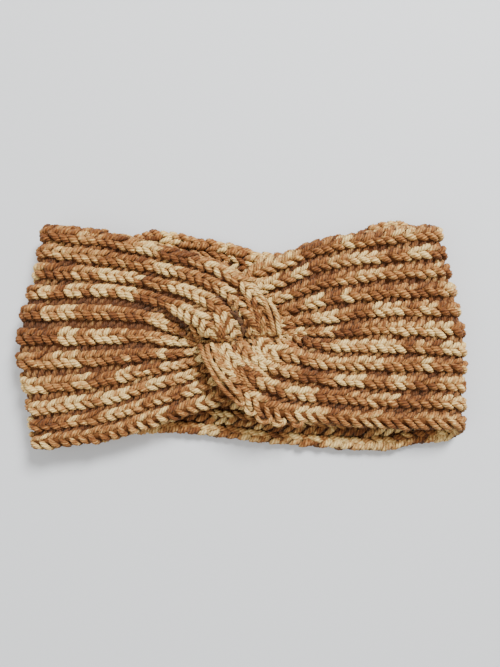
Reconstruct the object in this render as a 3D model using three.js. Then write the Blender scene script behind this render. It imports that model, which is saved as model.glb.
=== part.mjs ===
// A twisted headband in rib stitch, lying flat as it rests by itself, in millimetres.
// X runs along the folded band, Y across its width towards its upper edge, Z up from the surface it lies on.
// One ribbed strip goes round: from its left end in the knot along the left front, round the left fold,
// along the back, round the right fold and along the right front to its right end in the knot.
// At the knot the upper half of the left front passes over the right front, the lower half of the right
// front passes over the left front, and a hidden overcast seam underneath joins the two ends.
import * as THREE from "three";

// Driving dimensions.
const WALL = 5.5; // crest to crest thickness of the rib stitch
const HOLLOW = 6.2; // clear height inside the loop as it lies
const RIBS = 11; // ribs across the strip
const RIB_DEPTH = 2.2; // outer groove between two ribs
const INNER_DEPTH = 1.2; // inner groove behind each rib
const EDGE_ROUND = 1.1; // how much the outer face drops at the strip's long edges
const PRESSED = 0.2; // how much the crests of the back are pressed flat by the band's weight
const LOBE_CLEAR = 0.9; // air between a lobe of the knot and the layer that it covers
const LOBE_CROWN = 0.7; // how much more the crown of a lobe swells
const TAIL_DROP = 3.1; // how far the middle of a lobe falls at the crease
const TAIL_THIN = 0.16; // share of the wall that is left where a lobe rolls into the crease
const GRIP = 0.55; // share of the wall that is squeezed out where the knot grips the turn between its layers
const TURN_LEAD = 2.4; // how far before that turn the wall gets thinner, in widths of the turn
const KNOB_RISE = 1.8; // how much the knob swells above the rest of the left front's lobe
const KNOB_GROOVE = 1.4; // how much deeper the groove beside the knob is
const KNOB_GROOVE_REACH = 0.05; // how far that groove reaches to both sides, as a place across

// Heights of the strip's middle surface, worked out from those.
const BACK_MID = WALL / 2 - PRESSED;
const FRONT_MID = BACK_MID + WALL + HOLLOW;
const FOLD_RADIUS = (FRONT_MID - BACK_MID) / 2;
const LOBE_RISE = WALL + LOBE_CLEAR;

// Where the strip runs, seen from above: a row for each station from the side fold to the crease, and a
// column for each guide line across the strip, from the upper edge (across 1) to the lower edge (across -1).
const LEFT_ACROSS = {
  upper_edge: 1, upper: 0.64, knob: 0.48, over: 0.36, under: 0.18, middle: -0.1, lower: -0.55, lower_edge: -1,
};
const LEFT_FRONT = [
  {
    station: "side",
    upper_edge: [-94, 57.5], upper: [-96.5, 39.2], knob: [-98.5, 29.8], over: [-100, 23],
    under: [-103, 13], middle: [-105, -6], lower: [-99, -34.5], lower_edge: [-96, -53.5],
  },
  {
    station: "flank",
    upper_edge: [-62, 53], upper: [-62, 35.5], knob: [-64.3, 28.8], over: [-66, 24.2],
    under: [-68, 13], middle: [-68, -5], lower: [-64, -29], lower_edge: [-66, -49.8],
  },
  {
    station: "waist",
    upper_edge: [-38, 46.5], upper: [-42, 31.8], knob: [-43.2, 25], over: [-44, 20],
    under: [-48, 11], middle: [-47, -3.7], lower: [-44, -23], lower_edge: [-44, -42.8],
  },
  {
    station: "shoulder",
    upper_edge: [-12, 38], upper: [-24, 27], knob: [-27, 20], over: [-29, 14],
    under: [-36, 6.5], middle: [-34, -4.5], lower: [-30, -19.5], lower_edge: [-26, -37.5],
  },
  {
    station: "crown",
    upper_edge: [5, 27.5], upper: [-8.5, 18.5], knob: [-15, 13.2], over: [-21, 9],
    under: [-29, 3.5], middle: [-26, -4.5], lower: [-17, -15], lower_edge: [-9, -31],
  },
  {
    station: "brow",
    upper_edge: [15, 11.5], upper: [-0.5, 8.5], knob: [-9, 6.4], over: [-16.5, 5.5],
    under: [-24.5, 1.5], middle: [-20, -3], lower: [-8, -8], lower_edge: [4, -15],
  },
  {
    station: "tail",
    upper_edge: [17, 1.6], upper: [2, 1], knob: [-7, -0.6], over: [-14.5, 1.2],
    under: [-20.5, 0], middle: [-15, -0.2], lower: [-3, -0.2], lower_edge: [10, -0.2],
  },
];
const RIGHT_ACROSS = {
  upper_edge: 1, upper: 0.55, middle: 0.1, under: -0.18, over: -0.36, lower: -0.64, lower_edge: -1,
};
const RIGHT_FRONT = [
  {
    station: "side",
    upper_edge: [94, 57.5], upper: [98.5, 34.8], middle: [104, 10.5], under: [105.3, -5],
    over: [105.3, -13], lower: [104.3, -27], lower_edge: [104.5, -44],
  },
  {
    station: "flank",
    upper_edge: [62, 53.8], upper: [66, 32.3], middle: [70, 10.5], under: [72, -3.5],
    over: [72, -12.2], lower: [70, -26], lower_edge: [69, -43.4],
  },
  {
    station: "waist",
    upper_edge: [38, 49.3], upper: [43, 29], middle: [46, 7.5], under: [48, -3.2],
    over: [45, -12], lower: [44, -24], lower_edge: [40, -41.5],
  },
  {
    station: "shoulder",
    upper_edge: [20, 42], upper: [27, 23.5], middle: [31, 6.3], under: [34, -1.5],
    over: [28, -8.5], lower: [24, -21], lower_edge: [14, -38.5],
  },
  {
    station: "crown",
    upper_edge: [5, 36.5], upper: [14, 17.5], middle: [23, 5.8], under: [27, -0.6],
    over: [19, -7], lower: [8, -15], lower_edge: [-3, -27],
  },
  {
    station: "brow",
    upper_edge: [-6, 20], upper: [5, 9], middle: [17, 4], under: [22, 0.2],
    over: [13, -5.2], lower: [-1, -9], lower_edge: [-14.5, -12],
  },
  {
    station: "tail",
    upper_edge: [-12, 1.2], upper: [0, 1.2], middle: [12, 1.2], under: [17.5, 1],
    over: [11, -0.2], lower: [-4, -2.5], lower_edge: [-18.5, -1.9],
  },
];
// Upper and lower edge of the back, a row for each share of the way from the left fold to the right fold.
const BACK_EDGES = [
  { along: 0, upper_edge: 57, lower_edge: -53 },
  { along: 0.2, upper_edge: 54, lower_edge: -47 },
  { along: 0.26, upper_edge: 56.8, lower_edge: -46.7 },
  { along: 0.34, upper_edge: 53.6, lower_edge: -46.7 },
  { along: 0.4, upper_edge: 51.8, lower_edge: -48 },
  { along: 0.46, upper_edge: 50, lower_edge: -49.5 },
  { along: 0.56, upper_edge: 45, lower_edge: -52 },
  { along: 0.7, upper_edge: 46.5, lower_edge: -54 },
  { along: 0.82, upper_edge: 55.5, lower_edge: -55.5 },
  { along: 0.92, upper_edge: 61.5, lower_edge: -52.5 },
  { along: 1, upper_edge: 58.5, lower_edge: -50.5 },
];

// Where each change of height or thickness along a front begins, and how long it takes, in stations.
const CLIMB = { start: 1.6, length: 2.2 };
const CROWNING = { start: 3, length: 1.5 };
const KNOB_SWELLING = { start: 3, length: 1.6 };
const GROOVE_SINKING = { start: 3.9, length: 1.2 };
const GRIPPING = { start: 3.8, length: 1.8 };

// How finely each stretch of the strip is divided, and how far up each fold the back is still pressed flat.
const STEPS = { tail: 5, brow: 5, crown: 5, shoulder: 4, waist: 3, flank: 3, fold: 6, back: 12 };
const PRESS_LEAD = 0.1;
const STATIONS = LEFT_FRONT.length - 1;

const clamp = (t) => Math.min(1, Math.max(0, t));
const smooth = (t) => clamp(t) ** 2 * (3 - 2 * clamp(t));
const mix = (a, b, t) => a + (b - a) * t;
const comeIn = (station, { start, length }) => smooth((station - start) / length);

// A smooth curve through the values at the knots: each piece is a cubic with slopes from its neighbours.
function through(knots, values, t) {
  const last = knots.length - 1;
  let i = 0;
  while (i < last - 1 && t > knots[i + 1]) i++;
  const slope = (k, c) => {
    const a = Math.max(0, k - 1);
    const b = Math.min(last, k + 1);
    return (values[b][c] - values[a][c]) / (knots[b] - knots[a]);
  };
  const span = knots[i + 1] - knots[i];
  const q = (t - knots[i]) / span;
  const h = [2 * q ** 3 - 3 * q ** 2 + 1, q ** 3 - 2 * q ** 2 + q, 3 * q ** 2 - 2 * q ** 3, q ** 3 - q ** 2];
  return values[i].map(
    (p, c) => h[0] * p + h[1] * span * slope(i, c) + h[2] * values[i + 1][c] + h[3] * span * slope(i + 1, c),
  );
}

// The guide lines of one front in order of their place across the strip, with a plan point for each station.
function guidesOf(table, across) {
  return Object.entries(across)
    .sort((a, b) => a[1] - b[1])
    .map(([name, place]) => ({ place, points: table.map((row) => row[name]) }));
}

const stationKnots = LEFT_FRONT.map((_, i) => i);
const LEFT = { guides: guidesOf(LEFT_FRONT, LEFT_ACROSS), over: [LEFT_ACROSS.under, LEFT_ACROSS.over] };
const RIGHT = { guides: guidesOf(RIGHT_FRONT, RIGHT_ACROSS), over: [RIGHT_ACROSS.under, RIGHT_ACROSS.over] };

// Where a line lies in the turn between the two layers of a front: 0 where it leaves the layer that passes
// under, and 1 where it joins the lobe that passes over.
const turnPlace = (front, across) => (across - front.over[0]) / (front.over[1] - front.over[0]);
const overShare = (front, across) => smooth(turnPlace(front, across));

// The knob at the end of the left front's lobe swells between two guide lines, and a groove lies beyond it.
function knobRise(station, across) {
  const share = clamp((across - LEFT_ACROSS.under) / (LEFT_ACROSS.upper - LEFT_ACROSS.under));
  return KNOB_RISE * Math.sin(Math.PI * share) ** 2 * comeIn(station, KNOB_SWELLING);
}
function knobGroove(station, across) {
  const aside = (across - LEFT_ACROSS.upper) / KNOB_GROOVE_REACH;
  return KNOB_GROOVE * Math.exp(-(aside ** 2)) * comeIn(station, GROOVE_SINKING);
}

// Middle surface of one front: the plan point by the guides, and the height by the rise over the other layer.
function frontPoint(front, station, across) {
  const places = front.guides.map((g) => g.place);
  const plan = through(places, front.guides.map((g) => through(stationKnots, g.points, station)), across);
  const rise = LOBE_RISE * comeIn(station, CLIMB) + LOBE_CROWN * comeIn(station, CROWNING);
  const drop = TAIL_DROP * clamp(station - (STATIONS - 1)) ** 2;
  const knob = front === LEFT ? knobRise(station, across) : 0;
  return [...plan, FRONT_MID + overShare(front, across) * (rise - drop) + knob];
}

// Middle surface of the back between the two folds.
function backPoint(share, across) {
  const left = through(LEFT.guides.map((g) => g.place), LEFT.guides.map((g) => g.points[0]), across);
  const right = through(RIGHT.guides.map((g) => g.place), RIGHT.guides.map((g) => g.points[0]), across);
  const edges = BACK_EDGES.map((row) => [row.lower_edge, row.upper_edge]);
  const [lower, upper] = through(BACK_EDGES.map((row) => row.along), edges, share);
  return [mix(left[0], right[0], share), mix(lower, upper, (across + 1) / 2), BACK_MID];
}

// A half circle from the front down to the back, whose points slide from the front's line to the back's.
function foldPoint(turn, across, frontEnd, backEnd, outward) {
  const angle = Math.PI * turn;
  return [
    mix(frontEnd[0], backEnd[0], smooth(turn)) + outward * FOLD_RADIUS * Math.sin(angle),
    mix(frontEnd[1], backEnd[1], smooth(turn)),
    BACK_MID + FOLD_RADIUS * (1 + Math.cos(angle)),
  ];
}

// The whole strip's middle surface: run 0 is its left end in the knot, and RUN its right end.
const LEFT_FOLD = STATIONS;
const BACK_START = LEFT_FOLD + 1;
const RIGHT_FOLD = BACK_START + 1;
const RIGHT_START = RIGHT_FOLD + 1;
const RUN = RIGHT_START + STATIONS;
function middle(run, across) {
  if (run <= LEFT_FOLD) return frontPoint(LEFT, STATIONS - run, across);
  if (run < BACK_START) {
    return foldPoint(run - LEFT_FOLD, across, frontPoint(LEFT, 0, across), backPoint(0, across), -1);
  }
  if (run <= RIGHT_FOLD) return backPoint(run - BACK_START, across);
  if (run < RIGHT_START) {
    return foldPoint(RIGHT_START - run, across, frontPoint(RIGHT, 0, across), backPoint(1, across), 1);
  }
  return frontPoint(RIGHT, run - RIGHT_START, across);
}

// Unit normal of the middle surface, pointing to the side that is worn outwards.
function outward(run, across) {
  const step = 0.004;
  const within = (value, low, high) => Math.min(high, Math.max(low, value));
  const at = (r, a) => new THREE.Vector3(...middle(within(r, 0, RUN), within(a, -1, 1)));
  const alongRun = at(run + step, across).sub(at(run - step, across));
  const acrossRun = at(run, across + step).sub(at(run, across - step));
  return acrossRun.cross(alongRun).normalize();
}

// Share of the full wall: whole everywhere but where a lobe and the turn beside it roll into the crease.
function wallShare(run, across) {
  const front = run < STATIONS ? LEFT : run > RIGHT_START ? RIGHT : null;
  if (!front) return 1;
  const station = front === LEFT ? STATIONS - run : run - RIGHT_START;
  const roll = clamp(station - (STATIONS - 1));
  const rolled = smooth(turnPlace(front, across) / TURN_LEAD + 1);
  const gripped = GRIP * comeIn(station, GRIPPING) * rolled;
  return (1 - gripped) * (1 - rolled * (1 - TAIL_THIN) * (1 - Math.sqrt(1 - roll ** 2)));
}

// The lines that each rib's outer face is drawn with: place runs from its upper groove at 0 to its lower one
// at 1, and drop is the share of the groove's depth by which the line lies below the crest.
const RIB_LINES = [
  { place: 0, drop: 1 },
  { place: 0.2, drop: 0.08 },
  { place: 0.5, drop: 0 },
  { place: 0.8, drop: 0.08 },
];
const OUTER_LINES = RIB_LINES.length * RIBS;
function outerLine(line, pressed) {
  const { place, drop } = RIB_LINES[line % RIB_LINES.length];
  const across = 1 - (2 * (Math.floor(line / RIB_LINES.length) + place)) / RIBS;
  const edge = EDGE_ROUND * smooth((Math.abs(across) - (1 - 1 / RIBS)) * RIBS);
  return { across, height: Math.min(WALL / 2 - RIB_DEPTH * drop - edge, WALL / 2 - pressed) };
}

// The inner face has two lines for each rib: a ridge behind an outer groove, and a groove behind a crest.
const INNER_LINES = 2 * RIBS;
function innerLine(line) {
  return { across: 1 - (2 * line) / INNER_LINES, height: -(WALL / 2 - (line % 2 ? INNER_DEPTH : 0)) };
}

// Where the strip is cut into sections, along its run.
function sectionRuns() {
  const stretch = (from, count) => Array.from({ length: count }, (_, i) => from + i / count);
  const counts = ["tail", "brow", "crown", "shoulder", "waist", "flank"].map((name) => STEPS[name]);
  return [
    ...counts.flatMap((count, i) => stretch(i, count)),
    ...stretch(LEFT_FOLD, STEPS.fold),
    ...stretch(BACK_START, STEPS.back),
    ...stretch(RIGHT_FOLD, STEPS.fold),
    ...counts.toReversed().flatMap((count, i) => stretch(RIGHT_START + i, count)),
    RUN,
  ];
}

// One closed ring of points round the strip's section: the outer face from the upper edge to the lower edge,
// then the inner face back again.
function sectionRing(run) {
  const pressed = run > BACK_START - PRESS_LEAD && run < RIGHT_FOLD + PRESS_LEAD ? PRESSED : 0;
  const lines = [];
  for (let line = 0; line <= OUTER_LINES; line++) {
    const { across, height } = outerLine(line, pressed);
    const groove = run < STATIONS ? knobGroove(STATIONS - run, across) : 0;
    lines.push({ across, height: height - groove });
  }
  for (let line = INNER_LINES; line >= 0; line--) lines.push(innerLine(line));
  return lines.map(({ across, height }) => {
    const point = new THREE.Vector3(...middle(run, across));
    return point.addScaledVector(outward(run, across), height * wallShare(run, across));
  });
}

// The strip: its section rings joined by triangles, with a flat cap on each end. Each half rib of a cap is
// two steps of the outer face against one step of the inner face.
function stripGeometry() {
  const rings = sectionRuns().map(sectionRing);
  const size = rings[0].length;
  const faces = [];
  for (let i = 0; i + 1 < rings.length; i++) {
    for (let j = 0; j < size; j++) {
      const next = (j + 1) % size;
      const [a, b, c, d] = [i * size + j, i * size + next, (i + 1) * size + next, (i + 1) * size + j];
      faces.push(a, c, b, a, d, c);
    }
  }
  const cap = (start, order) => {
    for (let half = 0; half < INNER_LINES; half++) {
      const outer = 2 * half;
      const inner = size - 1 - half;
      const corners = [
        [outer, outer + 1, inner],
        [outer + 1, inner - 1, inner],
        [outer + 1, outer + 2, inner - 1],
      ];
      corners.forEach((corner) => faces.push(...order.map((k) => start + corner[k])));
    }
  };
  cap(0, [0, 1, 2]);
  cap((rings.length - 1) * size, [0, 2, 1]);
  const geometry = new THREE.BufferGeometry();
  const positions = rings.flat().flatMap((p) => [p.x, p.y, p.z]);
  geometry.setAttribute("position", new THREE.Float32BufferAttribute(positions, 3));
  geometry.setIndex(faces);
  geometry.computeVertexNormals();
  geometry.computeBoundingBox();
  return geometry;
}

// The overcast seam under the knot: a flat bead with round ends along the crease.
const SEAM = { length: 27, width: 8, thickness: 1.2, gap: 0.3, middle: [-1, 0.5] };
function seamGeometry() {
  const outline = new THREE.Shape();
  const radius = SEAM.width / 2;
  const straight = SEAM.length / 2 - radius;
  outline.absarc(straight, 0, radius, -Math.PI / 2, Math.PI / 2);
  outline.absarc(-straight, 0, radius, Math.PI / 2, (3 * Math.PI) / 2);
  const geometry = new THREE.ExtrudeGeometry(outline, {
    depth: SEAM.thickness,
    bevelEnabled: false,
    curveSegments: 8,
  });
  geometry.translate(...SEAM.middle, FRONT_MID - WALL / 2 - SEAM.gap - SEAM.thickness);
  return geometry;
}

const knit = new THREE.MeshStandardMaterial({ color: 0xb98552, roughness: 0.95, metalness: 0 });
const seamYarn = new THREE.MeshStandardMaterial({ color: 0xa9713f, roughness: 0.95, metalness: 0 });

const headband = new THREE.Group();
const strip = new THREE.Mesh(stripGeometry(), knit);
strip.name = "rib_strip";
headband.add(strip);
const seam = new THREE.Mesh(seamGeometry(), seamYarn);
seam.name = "twist_seam";
headband.add(seam);

// The origin is under the middle of the band, on the surface that it lies on.
const middleOfBand = strip.geometry.boundingBox.getCenter(new THREE.Vector3());
headband.position.set(-middleOfBand.x, -middleOfBand.y, 0);

export default headband;
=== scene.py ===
"""A twisted rib-stitch headband of plied, dip-dyed wool, lying flat on a pale floor.

The strip's middle surface is worked out from the guide tables below. A thin closed ground waves along it,
and every stitch is laid on it as a strand of yarn: the V-shaped arms of the ribs on both faces, the slanted
strands in the valleys, the loops along both edges, and the long strands, cords and slack loops of the knot.
"""
import math

import bpy
import numpy as np
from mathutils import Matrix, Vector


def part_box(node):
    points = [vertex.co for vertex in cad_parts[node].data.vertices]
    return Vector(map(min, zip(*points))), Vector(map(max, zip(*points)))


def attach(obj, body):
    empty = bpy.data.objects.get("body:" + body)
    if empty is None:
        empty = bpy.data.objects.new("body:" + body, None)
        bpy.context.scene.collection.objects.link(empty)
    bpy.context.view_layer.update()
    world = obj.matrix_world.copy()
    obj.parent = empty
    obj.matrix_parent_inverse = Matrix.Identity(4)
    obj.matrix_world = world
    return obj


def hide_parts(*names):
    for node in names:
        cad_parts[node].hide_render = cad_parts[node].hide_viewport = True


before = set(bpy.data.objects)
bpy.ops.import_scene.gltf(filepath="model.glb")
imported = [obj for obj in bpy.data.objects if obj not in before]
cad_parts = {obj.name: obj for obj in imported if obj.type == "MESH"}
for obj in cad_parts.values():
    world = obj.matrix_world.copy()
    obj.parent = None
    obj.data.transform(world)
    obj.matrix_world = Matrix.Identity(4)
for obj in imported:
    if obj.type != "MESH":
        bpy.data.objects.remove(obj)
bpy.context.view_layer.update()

MM = 0.001

# Driving dimensions of the strip, in millimetres.
WALL = 5.5
HOLLOW = 6.2
RIBS = 11
PRESSED = 0.2
LOBE_CLEAR = 0.9
LOBE_CROWN = 0.7
TAIL_DROP = 3.1
KNOB_RISE = 2.3
KNOB_GROOVE = 3.6
BACK_MID = WALL / 2 - PRESSED
FRONT_MID = BACK_MID + WALL + HOLLOW
FOLD_RADIUS = (FRONT_MID - BACK_MID) / 2
LOBE_RISE = WALL + LOBE_CLEAR

# Shares of the wall: what is left where a lobe rolls into the crease, and what the knot's grip takes.
TAIL_THIN = 0.16
GRIP = 0.3
# How far before the turn between a front's layers the wall gets thinner, in widths of the turn.
TURN_LEAD = 2.4
# How wide the knob's groove is, as a place across the strip.
GROOVE_REACH = 0.06

# Where each change of height or thickness along a front begins, and how long it takes, in stations.
CLIMB = {"start": 1.6, "length": 2.2}
CROWNING = {"start": 3, "length": 1.5}
KNOB_SWELLING = {"start": 3, "length": 1.6}
GROOVE_SINKING = {"start": 3.8, "length": 1.0}
GRIPPING = {"start": 3.8, "length": 1.8}

# The yarn and its stitches, in millimetres. The spread is how much longer the stitches get on the right
# front, and the ply's depth is the share of the radius that is drawn in between the plies.
YARN_RADIUS = 1.30
STITCH_LENGTH = 4.7
STITCH_SPREAD = 0.05
PLIES = 4
PLY_TURN = 7.0
PLY_DEPTH = 0.2
FLOOR_TOUCH = 0.03

# The rings along a strand and the points round it.
OUTER_RINGS, OUTER_SIDES = 9, 3 * PLIES
INNER_RINGS, INNER_SIDES = 6, 2 * PLIES
VALLEY_RINGS, VALLEY_SIDES = 5, 2 * PLIES
RIM_RINGS = 10

# The ribs of each piece, and the places of the inner face's two rims, counted in ribs from the upper edge.
OUTER_GROUPS = ((0, 4), (4, 8), (8, 11))
INNER_GROUPS = ((1, 6), (6, 11))
UPPER_RIM, LOWER_RIM = -0.27, RIBS - 0.73

SEEDS = {"stitches": 1126, "crease": 417, "cords": 88}


def guide_table(names, rows):
    """A table's rows, each with its values under the names of the guide lines."""
    return {row: dict(zip(names, values)) for row, values in rows.items()}


# Where the strip runs, seen from above: a row for each station from the side fold to the crease, and a
# column for each guide line, whose place across the strip is in the first row.
LEFT_GUIDES = guide_table(("upper_edge", "upper", "knob", "over", "under", "middle", "lower", "lower_edge"), {
    "place": (1, 0.64, 0.48, 0.36, 0.18, -0.1, -0.55, -1),
    "side": ((-94, 57.5), (-96.5, 39.2), (-98.5, 29.8), (-100, 23), (-103, 13),
             (-105, -6), (-99, -34.5), (-96, -53.5)),
    "flank": ((-62, 53), (-62, 35.5), (-64.3, 28.8), (-66, 24.2), (-68, 13),
              (-68, -5), (-64, -29), (-66, -49.8)),
    "waist": ((-38, 46.5), (-42, 31.8), (-43.2, 25), (-44, 20), (-48, 11),
              (-47, -3.7), (-44, -23), (-44, -42.8)),
    "shoulder": ((-12, 38), (-24, 27), (-27, 20), (-29, 14), (-36, 6.5),
                 (-34, -4.5), (-30, -19.5), (-26, -37.5)),
    "crown": ((5, 27.5), (-8.5, 18.5), (-15, 13.2), (-21, 9), (-29, 3.5),
              (-26, -4.5), (-17, -15), (-9, -31)),
    "brow": ((15, 11.5), (-0.5, 8.5), (-9, 6.4), (-16.5, 5.5), (-24.5, 1.5), (-20, -3), (-8, -8), (4, -15)),
    "tail": ((17, 1.6), (2, 1), (-7, -0.6), (-14.5, 1.2), (-20.5, 0), (-15, -0.2), (-3, -0.2), (10, -0.2)),
})
RIGHT_GUIDES = guide_table(("upper_edge", "upper", "middle", "under", "over", "lower", "lower_edge"), {
    "place": (1, 0.55, 0.1, -0.18, -0.36, -0.64, -1),
    "side": ((94, 57.5), (98.5, 34.8), (104, 10.5), (105.3, -5), (105.3, -13), (104.3, -27), (104.5, -44)),
    "flank": ((62, 53.8), (66, 32.3), (70, 10.5), (72, -3.5), (72, -12.2), (70, -26), (69, -43.4)),
    "waist": ((38, 49.3), (43, 29), (46, 7.5), (48, -3.2), (45, -12), (44, -24), (40, -41.5)),
    "shoulder": ((20, 42), (27, 23.5), (31, 6.3), (34, -1.5), (28, -8.5), (24, -21), (14, -38.5)),
    "crown": ((5, 36.5), (14, 17.5), (23, 5.8), (27, -0.6), (19, -7), (8, -15), (-3, -27)),
    "brow": ((-6, 20), (5, 9), (17, 4), (22, 0.2), (13, -5.2), (-1, -9), (-14.5, -12)),
    "tail": ((-12, 1.2), (0, 1.2), (12, 1.2), (17.5, 1), (11, -0.2), (-4, -2.5), (-18.5, -1.9)),
})
# The back: how much of the way from the left fold to the right fold, and its upper and lower edge there.
BACK_EDGES = (
    (0, 57, -53),
    (0.2, 54, -47),
    (0.26, 56.8, -46.7),
    (0.34, 53.6, -46.7),
    (0.4, 51.8, -48),
    (0.46, 50, -49.5),
    (0.56, 45, -52),
    (0.7, 46.5, -54),
    (0.82, 55.5, -55.5),
    (0.92, 61.5, -52.5),
    (1, 58.5, -50.5),
)
STATIONS = len(LEFT_GUIDES) - 2
LEFT_FOLD = STATIONS
BACK_START = LEFT_FOLD + 1
RIGHT_FOLD = BACK_START + 1
RIGHT_START = RIGHT_FOLD + 1
RUN = RIGHT_START + STATIONS


def smooth(t):
    """A rise from 0 to 1 that is level at both ends: three t squared less two t cubed."""
    t = np.clip(t, 0, 1)
    return t * t * (3 - 2 * t)


def through(knots, values, t):
    """A smooth curve through values at knots: a cubic on each span, with slopes from its neighbours."""
    knots = np.asarray(knots, float)
    values = np.asarray(values, float)
    last = len(knots) - 1
    low = np.maximum(np.arange(last + 1) - 1, 0)
    high = np.minimum(np.arange(last + 1) + 1, last)
    wide = (-1,) + (1,) * (values.ndim - 1)
    slopes = (values[high] - values[low]) / (knots[high] - knots[low]).reshape(wide)
    i = np.clip(np.searchsorted(knots, t, side="left") - 1, 0, last - 1)
    span = (knots[i + 1] - knots[i]).reshape(wide)
    q = (np.asarray(t, float) - knots[i]).reshape(wide) / span
    return (
        (2 * q**3 - 3 * q**2 + 1) * values[i]
        + (q**3 - 2 * q**2 + q) * span * slopes[i]
        + (3 * q**2 - 2 * q**3) * values[i + 1]
        + (q**3 - q**2) * span * slopes[i + 1]
    )


def guide_grid(guides, across, stations):
    """Plan points of one front on a grid of stations by places across: along each guide line first, then
    from guide to guide."""
    names = sorted(guides["place"], key=guides["place"].get)
    rows = [row for name, row in guides.items() if name != "place"]
    lines = np.array([[row[name] for name in names] for row in rows], float)
    along = through(range(len(rows)), lines, stations)
    places = [guides["place"][name] for name in names]
    return np.swapaxes(through(places, np.swapaxes(along, 0, 1), across), 0, 1)


def turn_place(guides, across):
    """0 where a line leaves the layer that passes under, and 1 where it joins the lobe that passes over."""
    start, end = guides["place"]["under"], guides["place"]["over"]
    return (across - start) / (end - start)


def come_in(station, change):
    """The share of a change along a front that is reached at a station."""
    return smooth((station - change["start"]) / change["length"])


def at_least(least, share):
    """From the least value where the share is 0 up to 1 where it is 1, in a straight line."""
    return least + (1 - least) * share


def knob_height(guides, across, station):
    """The lift of the knob: a swelling between the guides under and upper, as the square of a sine, and
    beyond it a groove, as a bell curve across the strip."""
    start, end = guides["place"]["under"], guides["place"]["upper"]
    share = np.clip((across - start) / (end - start), 0, 1)[None, :]
    swelling = np.sin(math.pi * share) ** 2 * come_in(station, KNOB_SWELLING)
    groove = np.exp(-(((across - end) / GROOVE_REACH) ** 2))[None, :] * come_in(station, GROOVE_SINKING)
    return KNOB_RISE * swelling - KNOB_GROOVE * groove


def front_grid(guides, across, stations):
    """Middle surface of one front and its share of the full wall, on a grid of stations by places across. The
    height changes where a lobe climbs over the other layer and falls into the crease."""
    plan = guide_grid(guides, across, stations)
    station = stations[:, None]
    over = smooth(turn_place(guides, across))[None, :]
    rise = LOBE_RISE * come_in(station, CLIMB) + LOBE_CROWN * come_in(station, CROWNING)
    drop = TAIL_DROP * np.clip(station - (STATIONS - 1), 0, 1) ** 2
    height = FRONT_MID + over * (rise - drop)
    if "knob" in guides["place"]:
        height = height + knob_height(guides, across, station)
    roll = np.clip(station - (STATIONS - 1), 0, 1)
    rolled = smooth(turn_place(guides, across) / TURN_LEAD + 1)[None, :]
    gripped = GRIP * come_in(station, GRIPPING) * rolled
    share = (1 - gripped) * (1 - rolled * (1 - TAIL_THIN) * (1 - np.sqrt(1 - roll**2)))
    return np.dstack([plan, height]), share


def back_grid(across, shares):
    """Middle surface of the back: a level sheet between the two folds' lines and its own two edges."""
    left = guide_grid(LEFT_GUIDES, across, np.zeros(1))[0]
    right = guide_grid(RIGHT_GUIDES, across, np.zeros(1))[0]
    edges = through([share for share, upper, lower in BACK_EDGES],
                    [(lower, upper) for share, upper, lower in BACK_EDGES], shares)
    x = left[None, :, 0] * (1 - shares[:, None]) + right[None, :, 0] * shares[:, None]
    y = edges[:, :1] + (edges[:, 1:] - edges[:, :1]) * (across[None, :] + 1) / 2
    return np.dstack([x, y, np.full_like(x, BACK_MID)])


def fold_grid(guides, across, turns, back_share, outward):
    """A half circle from the front down to the back, sliding from the front's line to the back's."""
    front = front_grid(guides, across, np.zeros(1))[0]
    back = back_grid(across, np.array([back_share], float))
    turn = turns[:, None]
    x = front[..., 0] * (1 - smooth(turn)) + back[..., 0] * smooth(turn)
    y = front[..., 1] * (1 - smooth(turn)) + back[..., 1] * smooth(turn)
    z = BACK_MID + FOLD_RADIUS * (1 + np.cos(math.pi * turn))
    return np.dstack([x + outward * FOLD_RADIUS * np.sin(math.pi * turn), y, z + 0 * x])


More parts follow.
